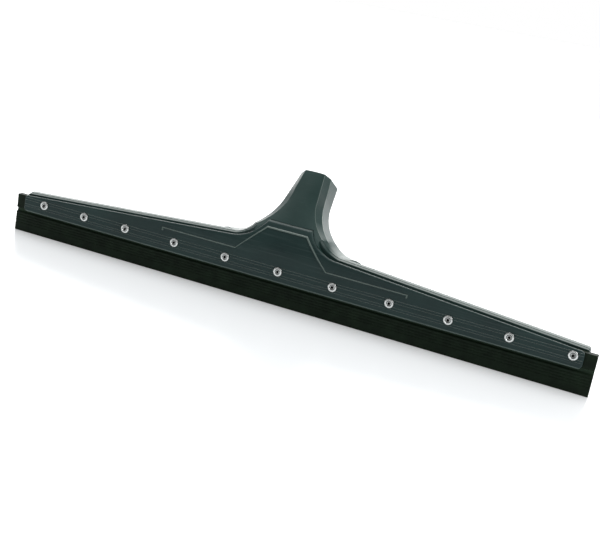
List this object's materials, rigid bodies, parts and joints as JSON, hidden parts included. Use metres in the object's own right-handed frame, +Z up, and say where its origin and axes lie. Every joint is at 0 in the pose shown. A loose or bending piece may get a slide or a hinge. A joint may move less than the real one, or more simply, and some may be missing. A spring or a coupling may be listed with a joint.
{
  "type": "floor squeegee",
  "caption": "Floor squeegee head: a long rubber blade riveted between a moulded front plate and a moulded rear body with an angled handle socket.",
  "frame": {"origin": "middle of the blade's wiping edge, on the floor", "axes": "+X along the blade, +Y from the front plate to the rear body, +Z up from the floor"},
  "size_m": [0.55, 0.074, 0.1157],
  "materials": {
    "rear_body": "fine moulded grain, dark slate grey",
    "front_plate": "fine moulded grain, dark slate grey",
    "blade": "matte extruded rubber, near black",
    "rivets": "satin aluminium",
    "rivet_pins": "dull zinc-plated steel"
  },
  "bodies": {
    "head": {"rear_body": "rear_body", "front_plate": "front_plate", "blade_root": "blade", "rivet_1": "rivets", "rivet_2": "rivets", "rivet_3": "rivets", "rivet_4": "rivets", "rivet_5": "rivets", "rivet_6": "rivets", "rivet_7": "rivets", "rivet_8": "rivets", "rivet_9": "rivets", "rivet_10": "rivets", "rivet_11": "rivets", "mandrel_1": "rivet_pins", "mandrel_2": "rivet_pins", "mandrel_3": "rivet_pins", "mandrel_4": "rivet_pins", "mandrel_5": "rivet_pins", "mandrel_6": "rivet_pins", "mandrel_7": "rivet_pins", "mandrel_8": "rivet_pins", "mandrel_9": "rivet_pins", "mandrel_10": "rivet_pins", "mandrel_11": "rivet_pins"},
    "lip": {"blade_lip": "blade"}
  },
  "joints": [
    {"name": "lip_flex", "type": "hinge", "parent": "head", "child": "lip", "pos_m": [0, 0, 0.02], "axis": [1, 0, 0], "range_deg": [-30, 30], "stiffness_Nm_per_rad": 0.5}
  ]
}
